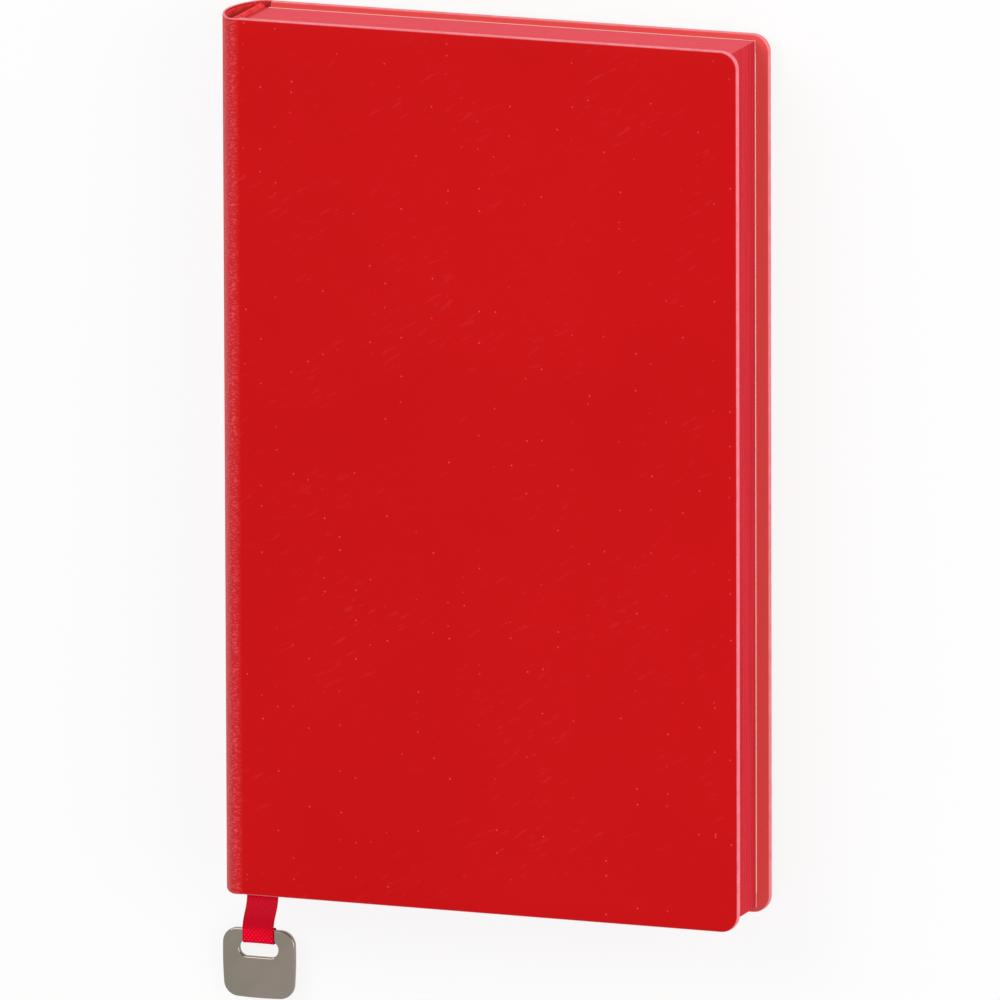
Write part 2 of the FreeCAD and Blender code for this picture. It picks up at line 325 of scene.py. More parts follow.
def case_curve():
    """Places in X and Z from the middle of the spine, up its round and over the shoulder to the flat."""
    sagitta = FLAT_FROM - SPINE_OUT
    radius = ((THICK / 2) ** 2 + sagitta ** 2) / (2 * sagitta)
    centre = Vector((SPINE_OUT + radius, MIDDLE))
    round_end = math.pi - math.asin(THICK / 2 / radius) + SHOULDER_ROUND / radius
    places = []
    for step in range(SPINE_STEPS + 1):
        angle = math.pi + (round_end - math.pi) * step / SPINE_STEPS
        places.append(centre + Vector((math.cos(angle), math.sin(angle))) * radius)
    start, corner, end = places[-1], Vector((FLAT_FROM, TOP)), Vector((FLAT_FROM + SHOULDER_FLAT, TOP))
    for step in range(1, SHOULDER_STEPS + 1):
        t = step / SHOULDER_STEPS
        places.append(start * (1 - t) ** 2 + corner * 2 * t * (1 - t) + end * t ** 2)
    along = [places[-1].x]
    for before, after in zip(reversed(places[:-1]), reversed(places[1:])):
        along.insert(0, along[0] - (after - before).length)
    outs = []
    for i in range(len(places)):
        slope = places[min(i + 1, len(places) - 1)] - places[max(i - 1, 0)]
        outs.append(Vector((-slope.y, slope.x)).normalized())
    outs[0], outs[-1] = Vector((-1, 0)), Vector((0, 1))
    return along, places, outs


ALONG, PLACES, OUTS = case_curve()


def on_case(flat):
    """A point of the flat sheet, laid on the book: along the sheet, along the spine, and depth below."""
    s, y, depth = flat
    share = min(max((s - BOARD_EDGE + BOARD_STEP) / (2 * BOARD_STEP), 0), 1)
    thick = SKIN + (COVER_THICK - SKIN) * share * share * (3 - 2 * share)
    if s < BOARD_EDGE + BOARD_STEP:
        depth = depth / COVER_THICK * thick
    if s >= ALONG[-1]:
        return Vector((s, y, TOP - depth))
    i = 0
    while i < len(ALONG) - 2 and s > ALONG[i + 1]:
        i += 1
    t = min(max((s - ALONG[i]) / (ALONG[i + 1] - ALONG[i]), 0), 1)
    place = PLACES[i].lerp(PLACES[i + 1], t) - OUTS[i].lerp(OUTS[i + 1], t).normalized() * depth
    return Vector((place.x, y, place.y))


print(f"half the sheet is {1000 * (FORE - ALONG[0]):.1f} mm wide")

# %% the flat sheet
def sheet_outline():
    """Places and outward directions round half the case, open at the middle of the spine."""
    found = [(Vector((ALONG[0], -HALF_TALL)), Vector((0, -1)))]
    for first, centre in ((-90, Vector((FORE - CORNER, -HALF_TALL + CORNER))),
                          (0, Vector((FORE - CORNER, HALF_TALL - CORNER)))):
        for step in range(CORNER_STEPS + 1):
            angle = math.radians(first + 90 * step / CORNER_STEPS)
            out = Vector((math.cos(angle), math.sin(angle)))
            found.append((centre + out * CORNER, out))
    found.append((Vector((ALONG[0], HALF_TALL)), Vector((0, 1))))
    return found


def rim_rings():
    """How far in and how deep each ring lies, from the outer face round to the inner face."""
    rings = []
    for step in range(ROLL_STEPS + 1):
        angle = math.radians(90 * step / ROLL_STEPS)
        rings.append((ROLL * (1 - math.sin(angle)), ROLL * (1 - math.cos(angle))))
    for step in range(ROLL_STEPS + 1):
        angle = math.radians(90 * step / ROLL_STEPS)
        rings.append((UNDER_ROLL * (1 - math.cos(angle)), COVER_THICK - UNDER_ROLL * (1 - math.sin(angle))))
    return rings


def flat_sheet(name):
    """The sheet as a closed solid, still flat, with depth as Z."""
    outline, rings = sheet_outline(), rim_rings()
    count, points, faces = len(outline), [], []
    for inset, depth in rings:
        for place, out in outline:
            inner = place - out * inset
            points.append((inner.x, inner.y, depth))
    for ring in range(len(rings) - 1):
        for i in range(count - 1):
            a = ring * count + i
            faces.append((a, a + 1, a + count + 1, a + count))
    last = (len(rings) - 1) * count
    faces.append(tuple(range(count)))
    faces.append(tuple(reversed(range(last, last + count))))
    faces.append(tuple([r * count for r in range(len(rings))]
                       + [r * count + count - 1 for r in reversed(range(len(rings)))]))
    return make_mesh(name, points, faces)


# %% cut it and lay it on the book
def cut_lines():
    """Where the sheet is cut across its width: closest on the round, the joint and the board's edge."""
    lines = list(ALONG[1:])
    lines += [JOINT + HALF_JOINT * (2 * step / JOINT_STEPS - 1) for step in range(JOINT_STEPS + 1)]
    lines += [BOARD_EDGE - BOARD_STEP, BOARD_EDGE - BOARD_STEP / 2, BOARD_EDGE + BOARD_STEP / 2,
              BOARD_EDGE + BOARD_STEP, BOARD_EDGE + 6 * BOARD_STEP]
    width = FORE - CORNER - BOARD_EDGE
    lines += [BOARD_EDGE + width * step / COVER_STEPS for step in range(1, COVER_STEPS + 1)]
    return sorted(lines)


def remember_place(piece):
    """Keep each point's place at rest, so that patterns stay put when the piece bends."""
    layer = piece.data.attributes.new("rest_place", "FLOAT_VECTOR", "POINT")
    for vertex, value in zip(piece.data.vertices, layer.data):
        value.vector = vertex.co


def make_case(side):
    """Half the case, as one piece, cut finer at the joint."""
    case = flat_sheet(f"{side}_case")
    book = bmesh.new()
    book.from_mesh(case.data)
    reach = HALF_TALL - CORNER
    cuts = [((s, 0, 0), (1, 0, 0)) for s in cut_lines()]
    cuts += [((0, reach * (2 * step / COVER_STEPS - 1), 0), (0, 1, 0)) for step in range(COVER_STEPS + 1)]
    for place, across in cuts:
        everything = book.verts[:] + book.edges[:] + book.faces[:]
        bmesh.ops.bisect_plane(book, geom=everything, plane_co=place, plane_no=across, dist=0.0005 * MM)
    for vertex in book.verts:
        vertex.co = on_case(vertex.co)
        if side == "back":
            vertex.co.z = 2 * MIDDLE - vertex.co.z
    # the recalculation can settle on the inside of a closed shell, so the sign of the volume decides
    bmesh.ops.recalc_face_normals(book, faces=book.faces)
    if book.calc_volume(signed=True) < 0:
        bmesh.ops.reverse_faces(book, faces=book.faces)
    volume = book.calc_volume(signed=True) / MM ** 3
    book.to_mesh(case.data)
    open_edges = sum(not edge.is_manifold for edge in book.edges)
    book.free()
    for face in case.data.polygons:
        face.use_smooth = True
    case.data.set_sharp_from_angle(angle=math.radians(50))
    case.data.materials.append(LEATHER)
    remember_place(case)
    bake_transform(case)
    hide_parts(f"{side}_cover_leather")
    print(case.name, len(case.data.polygons), "faces,", open_edges, "open edges,",
          round(volume), "mm3 inside")
    return case


front_case = make_case("front")
make_case("back")
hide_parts("spine_leather")

# %% [markdown]
# ## Paper
# The sheets are cream. After the block was trimmed its three edges were dyed red, and the dye soaks in by a
# few tenths of a millimetre. The endpapers were added afterwards, so their edges stay off-white: they are
# the pale lines at the front and rear of the block. The dye is painted by the place in the block, so a leaf
# shows a red rim when the book is open.

# %% paper materials
def paper(name, color, dyed):
    material, tree, shader = start_material(name, color, 0.85)
    place = rest_coordinates(tree) if dyed else object_coordinates(tree)
    fibre = noise(tree, place, 900, 4, ((0, 0, 0), (1, 2.9, 1)))
    shade = tuple(c * 0.93 for c in color)
    base = mix(tree, fibre, shade, color)
    if dyed:
        x, y, z = (axis_value(tree, place, axis) for axis in "XYZ")
        ragged = maths(tree, "MULTIPLY", noise(tree, place, 2600, 2), 0.35 * MM)
        from_fore = maths(tree, "SUBTRACT", block_high.x - 0.12 * MM, x)
        from_end = maths(tree, "SUBTRACT", block_high.y - 0.12 * MM, maths(tree, "ABSOLUTE", y))
        nearest = maths(tree, "MINIMUM", from_fore, from_end)
        soaked = maths(tree, "LESS_THAN", nearest, ragged)
        streak = add(tree, "ShaderNodeTexNoise", noise_dimensions="3D")
        streak.inputs["Scale"].default_value = 300
        squeeze = add(tree, "ShaderNodeMapping")
        squeeze.inputs["Scale"].default_value = (0.12, 0.12, 22)
        tree.links.new(place, squeeze.inputs["Vector"])
        tree.links.new(squeeze.outputs["Vector"], streak.inputs["Vector"])
        dye = ramp(tree, streak.outputs["Fac"], [(0.3, (0.60, 0.013, 0.024)), (0.7, (0.74, 0.034, 0.052))])
        # painted sheen: the head and tail ends of the dyed edge are painted paler pink, as light grazing them
        end_painted_sheen = maths(tree, "LESS_THAN", from_end, from_fore)
        dye = mix(tree, maths(tree, "MULTIPLY", end_painted_sheen, 0.85), dye, (0.82, 0.120, 0.150))
        base = mix(tree, soaked, base, dye)
    tree.links.new(base, shader.inputs["Base Color"])
    bump(tree, shader, fibre, 0.02 * MM, 0.4)
    shader.inputs["Specular IOR Level"].default_value = 0.25
    return material


PAGE_PAPER = paper("page_paper", (0.86, 0.82, 0.71), True)
ENDPAPER = paper("endpaper", (0.90, 0.88, 0.82), False)
print("papers ready")

# %% [markdown]
# ## Leaves by Geometry Nodes
# A page block is one leaf, repeated. The tree below bends nothing: it makes a thin leaf, copies it up a line
# of points, and shifts each copy a few hundredths of a millimetre, as a guillotine and a binder's hands leave
# them. The leaf has more columns near the gutter, because that is where a turned leaf bends. The seed is
# fixed, so every run gives the same block.

# %% the leaf tree
def new_tree(name, sockets):
    """A geometry tree with named inputs and one geometry output; gives the tree and its input node."""
    tree = bpy.data.node_groups.new(name, "GeometryNodeTree")
    for label, kind, value in sockets:
        socket = tree.interface.new_socket(name=label, in_out="INPUT", socket_type=kind)
        if value is not None:
            socket.default_value = value
    tree.interface.new_socket(name="Geometry", in_out="OUTPUT", socket_type="NodeSocketGeometry")
    return tree, tree.nodes.new("NodeGroupInput"), tree.nodes.new("NodeGroupOutput")


def run_tree(name, tree, values):
    """A plain mesh object from a tree, with its inputs set by identifier before it is evaluated."""
    holder = bpy.data.objects.new(name + "_maker", bpy.data.meshes.new(name + "_maker"))
    bpy.context.scene.collection.objects.link(holder)
    modifier = holder.modifiers.new("maker", "NODES")
    modifier.node_group = tree
    for item in tree.interface.items_tree:
        if item.in_out == "INPUT" and item.name in values:
            modifier[item.identifier] = values[item.name]
    bpy.context.view_layer.update()
    evaluated = holder.evaluated_get(bpy.context.evaluated_depsgraph_get())
    data = bpy.data.meshes.new_from_object(evaluated)
    data.name = name
    obj = bpy.data.objects.new(name, data)
    bpy.context.scene.collection.objects.link(obj)
    bpy.data.objects.remove(holder)
    return obj


def leaf_tree():
    """Count leaves of a width, height and thickness, a pitch apart, from a place."""
    tree, given, result = new_tree("leaf_stack", [
        ("Leaves", "NodeSocketInt", 4), ("Pitch", "NodeSocketFloat", 0.1 * MM),
        ("Thickness", "NodeSocketFloat", 0.09 * MM), ("Width", "NodeSocketFloat", 0.08),
        ("Height", "NodeSocketFloat", 0.148), ("Columns", "NodeSocketInt", 20),
        ("Jitter", "NodeSocketFloat", 0.05 * MM), ("Seed", "NodeSocketInt", 3),
        ("Place", "NodeSocketVector", None), ("Paper", "NodeSocketMaterial", None)])
    link = tree.links.new
    leaf = add(tree, "GeometryNodeMeshCube")
    link(given.outputs["Columns"], leaf.inputs["Vertices X"])
    where = add(tree, "GeometryNodeInputPosition")
    split = add(tree, "ShaderNodeSeparateXYZ")
    link(where.outputs[0], split.inputs[0])
    across = maths(tree, "POWER", maths(tree, "ADD", split.outputs["X"], 0.5), 2.2)
    x = maths(tree, "MULTIPLY", across, given.outputs["Width"])
    y = maths(tree, "MULTIPLY", split.outputs["Y"], given.outputs["Height"])
    z = maths(tree, "MULTIPLY", maths(tree, "ADD", split.outputs["Z"], 0.5), given.outputs["Thickness"])
    joined = add(tree, "ShaderNodeCombineXYZ")
    for axis, value in zip("XYZ", (x, y, z)):
        link(value, joined.inputs[axis])
    shaped = add(tree, "GeometryNodeSetPosition")
    link(leaf.outputs["Mesh"], shaped.inputs["Geometry"])
    link(joined.outputs[0], shaped.inputs["Position"])
    step = add(tree, "ShaderNodeCombineXYZ")
    link(given.outputs["Pitch"], step.inputs["Z"])
    line = add(tree, "GeometryNodeMeshLine", mode="OFFSET")
    link(given.outputs["Leaves"], line.inputs["Count"])
    link(given.outputs["Place"], line.inputs["Start Location"])
    link(step.outputs[0], line.inputs["Offset"])
    copies = add(tree, "GeometryNodeInstanceOnPoints")
    link(line.outputs["Mesh"], copies.inputs["Points"])
    link(shaped.outputs["Geometry"], copies.inputs["Instance"])
    chance = add(tree, "FunctionNodeRandomValue", data_type="FLOAT_VECTOR")
    chance.inputs["Min"].default_value = (-1, -1, 0)
    chance.inputs["Max"].default_value = (0, 1, 0)
    link(given.outputs["Seed"], chance.inputs["Seed"])
    scaled = add(tree, "ShaderNodeVectorMath", operation="SCALE")
    link(chance.outputs["Value"], scaled.inputs[0])
    link(given.outputs["Jitter"], scaled.inputs["Scale"])
    shift = add(tree, "GeometryNodeTranslateInstances")
    link(copies.outputs["Instances"], shift.inputs["Instances"])
    link(scaled.outputs[0], shift.inputs["Translation"])
    real = add(tree, "GeometryNodeRealizeInstances")
    link(shift.outputs["Instances"], real.inputs["Geometry"])
    finish = add(tree, "GeometryNodeSetMaterial")
    link(real.outputs["Geometry"], finish.inputs["Geometry"])
    link(given.outputs["Paper"], finish.inputs["Material"])
    link(finish.outputs["Geometry"], result.inputs["Geometry"])
    return tree


LEAVES = leaf_tree()

# %% [markdown]
# ## The block that stays, and the leaves that turn
# The sewn block is one stack. The flyleaf and the groups over the ribbon turn with the front cover, so each
# is its own piece, from the edge of the bound margin to the fore-edge.

# %% page pieces
LEAF_PITCH = 0.104 * MM
JITTER = 0.05 * MM


def stack(name, low, high, first_x, last_x, pitch, paper_used, seed, jitter=JITTER):
    """A stack of leaves that fills the height between two levels, from first_x to last_x."""
    count = max(1, round((high - low) / pitch))
    real_pitch = (high - low) / count
    return run_tree(name, LEAVES, {
        "Leaves": count, "Pitch": real_pitch, "Thickness": real_pitch * 0.94,
        "Width": last_x - first_x, "Height": 2 * block_high.y - 2 * JITTER, "Columns": 22,
        "Jitter": jitter, "Seed": seed, "Place": (first_x, 0.0, low), "Paper": paper_used})


signatures = [f"signature_{n}" for n in range(1, 9)]
sewn_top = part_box("signature_1")[1].z
sewn = stack("sewn_leaves", block_low.z, sewn_top, block_low.x, block_high.x, LEAF_PITCH, PAGE_PAPER, 11)
remember_place(sewn)
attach(sewn, "text_block")
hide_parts(*signatures)
margin = stack("bound_leaves", margin_low.z, margin_high.z, block_low.x, margin_high.x,
               LEAF_PITCH, PAGE_PAPER, 5, jitter=0.0)
remember_place(margin)
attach(margin, "text_block")
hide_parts("bound_margin")

turning = [("front_flyleaf", ENDPAPER, "endpaper")]
turning += [(f"leaf_group_{n}", PAGE_PAPER, "page_paper") for n in range(1, 6)]
for number, (node, used, slot_name) in enumerate(turning):
    low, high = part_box(node)
    leaf = stack(node + "_leaves", low.z, high.z, margin_high.x, block_high.x, LEAF_PITCH, used, 20 + number)
    remember_place(leaf)
    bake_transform(leaf)
    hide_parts(node)
print("leaves", len(sewn.data.polygons), "faces in the sewn block")

# %% [markdown]
# ## Endpapers and the binding
# The pastedowns and the back flyleaf have the right shape already, so they keep it and only get paper. The
# endpaper crosses the joint as one sheet, so a narrow strip lies between the cover and the block.

# %% endpapers, boards and binding cloth
def paint(node, material):
    """A frame node keeps its shape and gets a finish."""
    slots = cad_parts[node].data.materials
    slots.clear()
    slots.append(material)


for node in ("front_pastedown", "back_pastedown", "back_flyleaf"):
    paint(node, ENDPAPER)


def woven(name, color, dark, scale, depth):
    """A plain weave of bands in Y and Z, for cloth and thread."""
    material, tree, shader = start_material(name, color, 0.8)
    place = object_coordinates(tree)
    threads = []
    for direction in ("Y", "Z"):
        wave = add(tree, "ShaderNodeTexWave", bands_direction=direction)
        wave.inputs["Scale"].default_value = scale
        tree.links.new(place, wave.inputs["Vector"])
        threads.append(wave.outputs["Fac"])
    weave = maths(tree, "MULTIPLY", *threads)
    tree.links.new(mix(tree, weave, dark, color), shader.inputs["Base Color"])
    bump(tree, shader, weave, depth, 0.7)
    return material


def fibrous(name, color, dark, scale, dyed_from=None):
    """Board, card, glue or lining: a short fibre or cloudy grain, dyed red past a place along the spine."""
    material, tree, shader = start_material(name, color, 0.88)
    place = object_coordinates(tree)
    fibre = noise(tree, place, scale, 5)
    mottled = ramp(tree, fibre, [(0.38, dark), (0.62, color)])
    if dyed_from:
        tall = maths(tree, "ABSOLUTE", axis_value(tree, place, "Y"))
        mottled = mix(tree, maths(tree, "GREATER_THAN", tall, dyed_from), mottled, (0.62, 0.015, 0.022))
    tree.links.new(mottled, shader.inputs["Base Color"])
    bump(tree, shader, fibre, 0.08 * MM, 0.6)
    return material


paint("spine_gauze", woven("gauze_cloth", (0.78, 0.75, 0.66), (0.45, 0.42, 0.36), 500, 0.05 * MM))
paint("sewing_thread", woven("linen_thread", (0.80, 0.77, 0.68), (0.5, 0.47, 0.4), 900, 0.05 * MM))
paint("spine_glue", fibrous("binding_glue", (0.62, 0.54, 0.40), (0.45, 0.38, 0.26), 300,
                            dyed_from=block_high.y - 0.6 * MM))
paint("spine_lining", fibrous("lining_paper", (0.45, 0.30, 0.17), (0.33, 0.21, 0.11), 700))
paint("spine_stiffener", fibrous("red_backing", (0.95, 0.055, 0.045), (0.82, 0.010, 0.008), 1100))
for node in ("front_board", "back_board"):
    paint(node, fibrous("grey_board", (0.36, 0.33, 0.29), (0.24, 0.22, 0.19), 900))

# %% the endpaper across each joint
STRIP_STEPS = 14


def joint_strip(side):
    """The narrow sheet between a pastedown and the block, in columns so that it can bend."""
    low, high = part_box(f"{side}_pastedown")
    first, last = block_low.x, low.x
    points, faces = [], []
    for step in range(STRIP_STEPS + 1):
        x = first + (last - first) * step / STRIP_STEPS
        points += [(x, low.y, low.z), (x, high.y, low.z), (x, high.y, high.z), (x, low.y, high.z)]
    for a in range(0, 4 * STRIP_STEPS, 4):
        faces += [(a + i, a + (i + 1) % 4, a + (i + 1) % 4 + 4, a + i + 4) for i in range(4)]
    end = 4 * STRIP_STEPS
    faces += [(0, 1, 2, 3), (end, end + 1, end + 2, end + 3)]
    strip = make_mesh(f"{side}_joint_paper", points, faces, smooth=False)
    strip.data.materials.append(ENDPAPER)
    remember_place(strip)
    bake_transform(strip)


for side in ("front", "back"):
    joint_strip(side)
print("endpapers and binding painted")

# %% [markdown]
# ## Headbands
# A headband is a cord wrapped in silk, glued at the head and tail of the spine. It could be a cylinder with a
# striped bump, but the wraps show at its edge, so Geometry Nodes set real rings of thread along it.

# %% headband tree
def wrap_tree():
    """Rings of thread along a line."""
    tree, given, result = new_tree("thread_wraps", [
        ("Wraps", "NodeSocketInt", 30), ("Pitch", "NodeSocketFloat", 0.4 * MM),
        ("Radius", "NodeSocketFloat", 0.6 * MM), ("Thread", "NodeSocketFloat", 0.2 * MM),
        ("Place", "NodeSocketVector", None), ("Silk", "NodeSocketMaterial", None)])
    link = tree.links.new
    ring = add(tree, "GeometryNodeCurvePrimitiveCircle", mode="RADIUS")
    ring.inputs["Resolution"].default_value = 14
    inner = maths(tree, "SUBTRACT", given.outputs["Radius"], given.outputs["Thread"])
    link(inner, ring.inputs["Radius"])
    profile = add(tree, "GeometryNodeCurvePrimitiveCircle", mode="RADIUS")
    profile.inputs["Resolution"].default_value = 6
    link(given.outputs["Thread"], profile.inputs["Radius"])
    sweep = add(tree, "GeometryNodeCurveToMesh")
    link(ring.outputs["Curve"], sweep.inputs["Curve"])
    link(profile.outputs["Curve"], sweep.inputs["Profile Curve"])
    step = add(tree, "ShaderNodeCombineXYZ")
    link(given.outputs["Pitch"], step.inputs["Z"])
    line = add(tree, "GeometryNodeMeshLine", mode="OFFSET")
    link(given.outputs["Wraps"], line.inputs["Count"])
    link(given.outputs["Place"], line.inputs["Start Location"])
    link(step.outputs[0], line.inputs["Offset"])
    copies = add(tree, "GeometryNodeInstanceOnPoints")
    link(line.outputs["Mesh"], copies.inputs["Points"])
    link(sweep.outputs["Mesh"], copies.inputs["Instance"])
    real = add(tree, "GeometryNodeRealizeInstances")
    link(copies.outputs["Instances"], real.inputs["Geometry"])
    finish = add(tree, "GeometryNodeSetMaterial")
    link(real.outputs["Geometry"], finish.inputs["Geometry"])
    link(given.outputs["Silk"], finish.inputs["Material"])
    link(finish.outputs["Geometry"], result.inputs["Geometry"])
    return tree


WRAPS = wrap_tree()
SILK = fibrous("red_silk", (0.92, 0.070, 0.060), (0.74, 0.008, 0.010), 1500)
THREAD = 0.2 * MM
for node in ("headband_head", "headband_tail"):
    low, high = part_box(node)
    count = round((high.z - low.z) / (1.7 * THREAD))
    pitch = (high.z - low.z - 2 * THREAD) / (count - 1)
    band = run_tree(node + "_wraps", WRAPS, {
        "Wraps": count, "Pitch": pitch, "Radius": (high.x - low.x) / 2, "Thread": THREAD,
        "Place": ((low.x + high.x) / 2, (low.y + high.y) / 2, low.z + THREAD), "Silk": SILK})
    for face in band.data.polygons:
        face.use_smooth = True
    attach(band, "text_block")
    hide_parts(node)
print("headbands wrapped")

# %% [markdown]
# ## Ribbon marker
# The ribbon is a narrow flat tape with a woven edge. It could be a curve with a flat bevel, but then its UV
# would not be mine to choose, and the weave has to run along it. So I sweep a flat section with thicker edges
# between the same ends as the frame's strip, in a straighter fall, and lay the weave on its UV.

# %% ribbon material
THREAD_PITCH = 0.52         # millimetres between diagonal threads
WAVE_PERIOD = math.pi / 10  # a wave texture's own period at scale 1


def ribbon_cloth():
    material, tree, shader = start_material("crimson_ribbon", (0.90, 0.0025, 0.030), 0.7)
    uv = add(tree, "ShaderNodeUVMap", uv_map="weave")
    lines = []
    for turn in (40, -40):
        mapping = add(tree, "ShaderNodeMapping")
        mapping.inputs["Rotation"].default_value = (0, 0, math.radians(turn))
        tree.links.new(uv.outputs["UV"], mapping.inputs["Vector"])
        wave = add(tree, "ShaderNodeTexWave", bands_direction="X")
        wave.inputs["Scale"].default_value = WAVE_PERIOD / THREAD_PITCH
        wave.inputs["Distortion"].default_value = 0.5
        tree.links.new(mapping.outputs["Vector"], wave.inputs["Vector"])
        lines.append(wave.outputs["Fac"])
    dots = maths(tree, "MULTIPLY", *lines)
    color = ramp(tree, dots, [(0.05, (0.80, 0.0010, 0.018)), (0.45, (0.92, 0.0020, 0.030)),
                              (0.9, (0.97, 0.030, 0.075))])
    # painted shade: both long edges of the tape are painted darker, as shade where they turn away from the
    # light
    across = maths(tree, "ABSOLUTE", axis_value(tree, uv.outputs["UV"], "X"))
    edge = smooth_range(tree, across, 0.90 * HALF_TAPE / MM, 0.98 * HALF_TAPE / MM)
    color = mix(tree, maths(tree, "MULTIPLY", edge, 0.7), color, (0.55, 0.001, 0.014))
    tree.links.new(color, shader.inputs["Base Color"])
    bump(tree, shader, dots, 0.06 * MM, 0.6)
    shader.inputs["Specular IOR Level"].default_value = 0.02
    return material


tail_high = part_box("ribbon_tail")[1]
run_low, run_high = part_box("ribbon_marker")
loop_low, loop_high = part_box("ribbon_loop")
TAPE = run_high.z - run_low.z
HALF_TAPE = (run_high.x - run_low.x) / 2
RIBBON = ribbon_cloth()

# %% ribbon's section and places
exit_place = Vector(((run_low.x + run_high.x) / 2, tail_high.y, (run_low.z + run_high.z) / 2))
over_bar = Vector(((loop_low.x + loop_high.x) / 2, loop_high.y - TAPE / 2, loop_high.z - TAPE / 2))
under_bar = Vector((over_bar.x, loop_low.y + TAPE / 2, loop_low.z + TAPE / 2))
ACROSS = [-1, -0.97, -0.9, -0.6, 0, 0.6, 0.9, 0.97, 1]
EDGE_SHAPE = [0.25, 0.95, 1.0, 0.72, 0.7, 0.72, 1.0, 0.95, 0.25]    # the woven edges are a little thicker


def sweep_tape(name, path, done=0.0):
    """A flat tape along a path, with the weave's own coordinates in millimetres."""
    upper = [(a * HALF_TAPE, t * TAPE / 2) for a, t in zip(ACROSS, EDGE_SHAPE)]
    profile = upper + [(a, -t) for a, t in reversed(upper)]
    count, points, faces, lengths = len(profile), [], [], [done]
    for i, place in enumerate(path):
        slope = path[min(i + 1, len(path) - 1)] - path[max(i - 1, 0)]
        out = Vector((0, slope.z, -slope.y)).normalized()
        if i:
            lengths.append(lengths[-1] + (place - path[i - 1]).length)
        points += [tuple(place + Vector((across, 0, 0)) + out * lift) for across, lift in profile]
    for row in range(len(path) - 1):
        for i in range(count):
            a, b = row * count + i, row * count + (i + 1) % count
            faces.append((a, b, b + count, a + count))
    faces += [tuple(range(count)), tuple(range((len(path) - 1) * count, len(path) * count))]
    data = bpy.data.meshes.new(name)
    data.from_pydata(points, [], faces)
    layer = data.uv_layers.new(name="weave")
    for loop in data.loops:
        row, i = divmod(loop.vertex_index, count)
        layer.data[loop.index].uv = (profile[i][0] / MM, lengths[row] / MM)
    book = bmesh.new()
    book.from_mesh(data)
    bmesh.ops.recalc_face_normals(book, faces=book.faces)
    book.to_mesh(data)
    book.free()
    for face in data.polygons:
        face.use_smooth = True
    data.set_sharp_from_angle(angle=math.radians(60))
    tape = bpy.data.objects.new(name, data)
    bpy.context.scene.collection.objects.link(tape)
    data.materials.append(RIBBON)
    return tape, lengths[-1]


# %% ribbon: the marker and its free tail
RUN_STEPS = 60
TAIL_STEPS = 44
TAIL_EASE = 0.5             # 0 is a straight fall, 1 a full S
LOWER_FROM = TAIL_STEPS // 2


def tail_place(step):
    """The free tail falls from the pages to the tag's bar in one smooth curve."""
    share = step / TAIL_STEPS
    ease = share + TAIL_EASE * (share * share * (3 - 2 * share) - share)
    place = exit_place.lerp(over_bar, ease)
    place.y = exit_place.y + (over_bar.y - exit_place.y) * share
    return place


head_end = Vector((exit_place.x, run_high.y, exit_place.z))
marker_path = [head_end.lerp(exit_place, step / RUN_STEPS) for step in range(RUN_STEPS)]
marker_path += [tail_place(step) for step in range(LOWER_FROM + 1)]
marker, marker_length = sweep_tape("ribbon_marker_tape", marker_path)
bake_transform(marker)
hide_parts("ribbon_marker", "ribbon_tail")

# %% [markdown]
# The lower half of the tail goes over the tag's bar, down through the slot and back under it, as a piece
# of its own.

# %% ribbon: the fold round the bar
TURN_RADIUS = 0.45 * MM
TURN_STEPS = 8
FLAT_STEPS = 6


def quarter_turn(y, z, first):
    """A rounded bend about a centre, turning back under the bar."""
    return [Vector((over_bar.x, y + TURN_RADIUS * math.cos(math.radians(first + 90 * step / TURN_STEPS)),
                    z + TURN_RADIUS * math.sin(math.radians(first + 90 * step / TURN_STEPS))))
            for step in range(TURN_STEPS + 1)]


fold_path = [tail_place(step) for step in range(LOWER_FROM, TAIL_STEPS + 1)]
far_y, near_y = under_bar.y + TURN_RADIUS, over_bar.y - TURN_RADIUS
fold_path += [over_bar.lerp(Vector((over_bar.x, far_y, over_bar.z)), step / FLAT_STEPS)
              for step in range(1, FLAT_STEPS)]
fold_path += quarter_turn(far_y, over_bar.z - TURN_RADIUS, 90)
fold_path += quarter_turn(far_y, under_bar.z + TURN_RADIUS, 180)
fold_path += quarter_turn(near_y, under_bar.z + TURN_RADIUS, 270)
fold, tape_length = sweep_tape("ribbon_fold_tape", fold_path, marker_length)
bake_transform(fold)
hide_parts("ribbon_loop")
free_length = tape_length - (head_end - exit_place).length
print(f"{1000 * tape_length:.1f} mm of tape, {1000 * free_length:.1f} mm of it free")

# %% [markdown]
# ## Metal tag
# The tag is stamped and polished, in a dark nickel. Its shape is already right, so it keeps the frame's mesh.
# The finish is a clean dark metal with soft smudges and the slightest waviness from polishing.

# %% tag finish
def gunmetal():
    material, tree, shader = start_material("polished_gunmetal", (0.26, 0.225, 0.185), 0.14)
    place = object_coordinates(tree)
    shader.inputs["Metallic"].default_value = 1.0
    smudge = noise(tree, place, 170, 2, ((0, 0, math.radians(50)), (2.0, 0.8, 1)))
    tree.links.new(ramp(tree, smudge, [(0.35, grey(0.10)), (0.7, grey(0.17))]), shader.inputs["Roughness"])
    tint = ramp(tree, smudge, [(0.35, (0.235, 0.213, 0.172)), (0.65, (0.268, 0.225, 0.193))])
    tree.links.new(tint, shader.inputs["Base Color"])
    bump(tree, shader, noise(tree, place, 260, 2), 0.02 * MM, 0.12)
    return material


paint("metal_tag", gunmetal())
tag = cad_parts["metal_tag"]
for face in tag.data.polygons:
    face.use_smooth = True
even = tag.modifiers.new("even_normals", "WEIGHTED_NORMAL")
even.keep_sharp = True
print("tag polished")

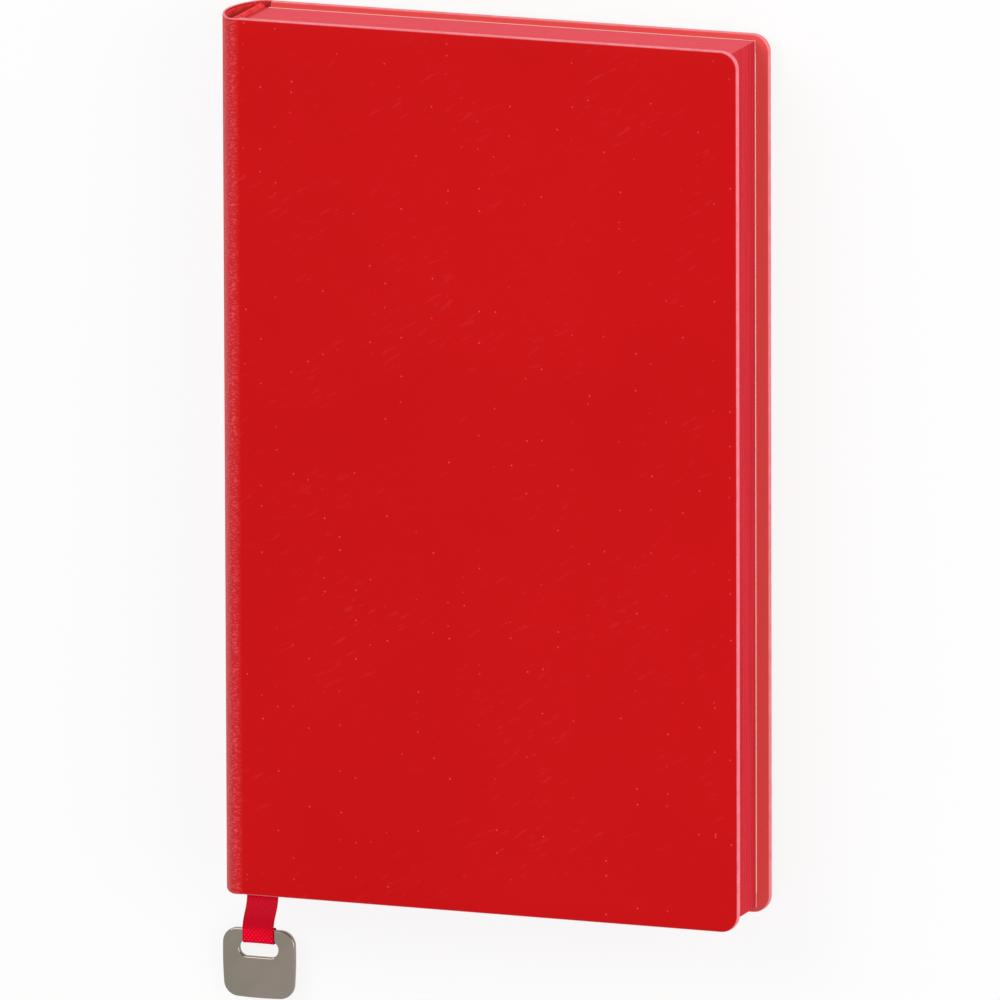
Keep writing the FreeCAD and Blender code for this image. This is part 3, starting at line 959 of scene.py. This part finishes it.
# %% [markdown]
# ## Stage, light and camera
# The book lies on a pale table. A large soft lamp stands at the head and left, a weaker one fills from the
# right, and the world lights the rest. The camera looks down on the cover from a long way off with a long
# lens, so its lines stay nearly parallel.

# %% stage
FLOOR_LEVEL = -1.7 * MM    # just below the back cover when it is opened right back


def make_floor():
    side = 3.0
    floor = make_mesh("floor", [(-side, -side, FLOOR_LEVEL), (side, -side, FLOOR_LEVEL),
                                (side, side, FLOOR_LEVEL), (-side, side, FLOOR_LEVEL)], [(0, 1, 2, 3)], False)
    material, tree, shader = start_material("pale_table", (0.95, 0.95, 0.95), 0.9)
    shader.inputs["Specular IOR Level"].default_value = 0.0
    path = add(tree, "ShaderNodeLightPath")
    white = add(tree, "ShaderNodeEmission")
    blend = add(tree, "ShaderNodeMixShader")
    seen = maths(tree, "MAXIMUM", path.outputs["Is Camera Ray"], path.outputs["Is Glossy Ray"])
    tree.links.new(maths(tree, "MULTIPLY", seen, 0.85), blend.inputs["Fac"])
    tree.links.new(shader.outputs["BSDF"], blend.inputs[1])
    tree.links.new(white.outputs["Emission"], blend.inputs[2])
    tree.links.new(blend.outputs["Shader"], tree.nodes["Material Output"].inputs["Surface"])
    floor.data.materials.append(material)
    return floor


make_floor()


WORLD_LEVEL = 0.50


def make_world():
    world = bpy.data.worlds.new("plain_world")
    bpy.context.scene.world = world
    world.use_nodes = True
    tree = world.node_tree
    ground = tree.nodes["Background"]
    path = add(tree, "ShaderNodeLightPath")
    seen = maths(tree, "MAXIMUM", path.outputs["Is Camera Ray"], path.outputs["Is Transmission Ray"])
    seen = maths(tree, "MAXIMUM", seen, path.outputs["Is Glossy Ray"])
    ground.inputs["Color"].default_value = (1, 1, 1, 1)
    level = maths(tree, "ADD", maths(tree, "MULTIPLY", seen, 1 - WORLD_LEVEL), WORLD_LEVEL)
    tree.links.new(level, ground.inputs["Strength"])


def make_lamp(name, place, size, power):
    data = bpy.data.lights.new(name, "AREA")
    data.shape = "SQUARE"
    data.size = size
    data.energy = power
    lamp = bpy.data.objects.new(name, data)
    bpy.context.scene.collection.objects.link(lamp)
    lamp.location = place
    lamp.rotation_euler = (-Vector(place)).to_track_quat("-Z", "Y").to_euler()
    return lamp


make_world()
make_lamp("key_lamp", (-0.8, 1.0, 1.3), 1.2, 14)
make_lamp("fill_lamp", (1.4, 0.2, 0.9), 1.2, 13.5)

# %% camera
TURN_TO_FORE = math.radians(20.12)
TURN_TO_HEAD = math.radians(12.18)
ROLL_ANGLE = math.radians(-0.18)
DISTANCE = 5.0
VIEW_WIDTH = 167.8 * MM
AIM_RIGHT = 43.0 * MM       # the camera looks this far to the right of the spine line
AIM_DOWN = 9.05 * MM


def make_camera():
    back = Vector((math.sin(TURN_TO_FORE) * math.cos(TURN_TO_HEAD), math.sin(TURN_TO_HEAD),
                   math.cos(TURN_TO_FORE) * math.cos(TURN_TO_HEAD)))
    right = Vector((math.cos(TURN_TO_FORE), 0, -math.sin(TURN_TO_FORE)))
    up = back.cross(right)
    spine_line = JOINT - 2.0 * MM
    aim = Vector((spine_line, 0, TOP - THICK / 2)) + right * AIM_RIGHT - up * AIM_DOWN
    data = bpy.data.cameras.new("camera")
    data.sensor_width = 36.0
    data.lens = data.sensor_width * DISTANCE / VIEW_WIDTH
    data.clip_end = 20.0
    camera = bpy.data.objects.new("camera", data)
    bpy.context.scene.collection.objects.link(camera)
    turn = Matrix((right, up, back)).transposed().to_4x4() @ Matrix.Rotation(ROLL_ANGLE, 4, "Z")
    camera.matrix_world = Matrix.Translation(aim + back * DISTANCE) @ turn
    bpy.context.scene.camera = camera


make_camera()
bpy.context.scene.view_settings.view_transform = "Standard"
